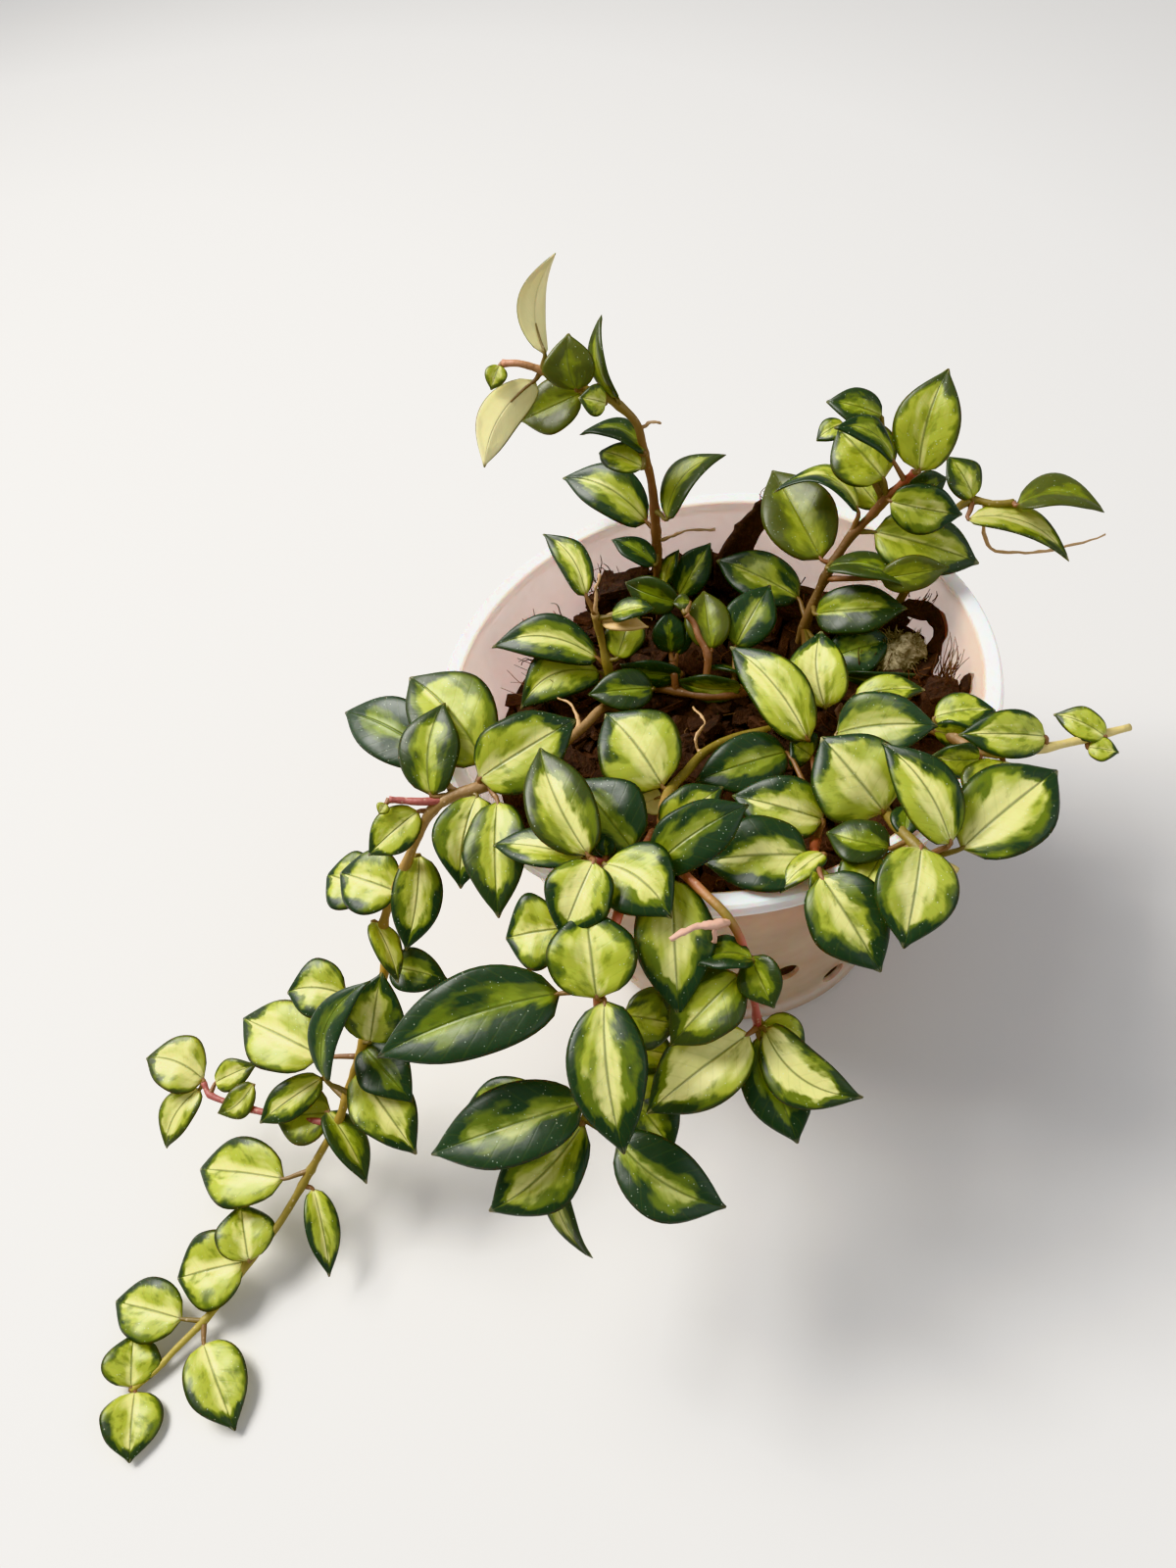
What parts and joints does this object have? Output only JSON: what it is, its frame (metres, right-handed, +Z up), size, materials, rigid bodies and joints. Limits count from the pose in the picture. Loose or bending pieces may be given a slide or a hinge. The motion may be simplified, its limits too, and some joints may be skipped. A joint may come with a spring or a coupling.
{
  "type": "potted climbing plant",
  "caption": "Variegated waxflower vine with small pointed waxy leaves, planted in husk chips in a clear nursery pot; shoots arch over the rim and a long stem trails down to the surface.",
  "frame": {"origin": "middle of the pot's base, on the surface it stands on", "axes": "+Z up out of the pot; -Y towards the side seen in the picture; -X towards the stem that trails down to the surface"},
  "size_m": [0.2631, 0.1688, 0.1522],
  "materials": {
    "pot": "thin frosted clear plastic",
    "husk": "rough dark husk chips",
    "husk_fibre": "rough reddish brown fibres",
    "moss": "dry pale moss",
    "vine": "waxy leaf, green with cream-lime centre"
  },
  "bodies": {
    "root": {"nursery_pot": "pot", "husk_bed": "husk", "tall_husk_chip": "husk", "bent_husk_chunk": "husk", "fibrous_husk_chunk": "husk_fibre", "moss_lump": "moss", "back_left_vine": "vine", "left_short_vine": "vine", "centre_shoots": "vine", "back_right_vine": "vine", "far_right_vine": "vine", "right_vine": "vine", "right_front_vine": "vine", "front_right_vine": "vine", "front_pink_vine": "vine", "front_trailing_vine": "vine", "long_trailing_vine": "vine"}
  },
  "joints": []
}
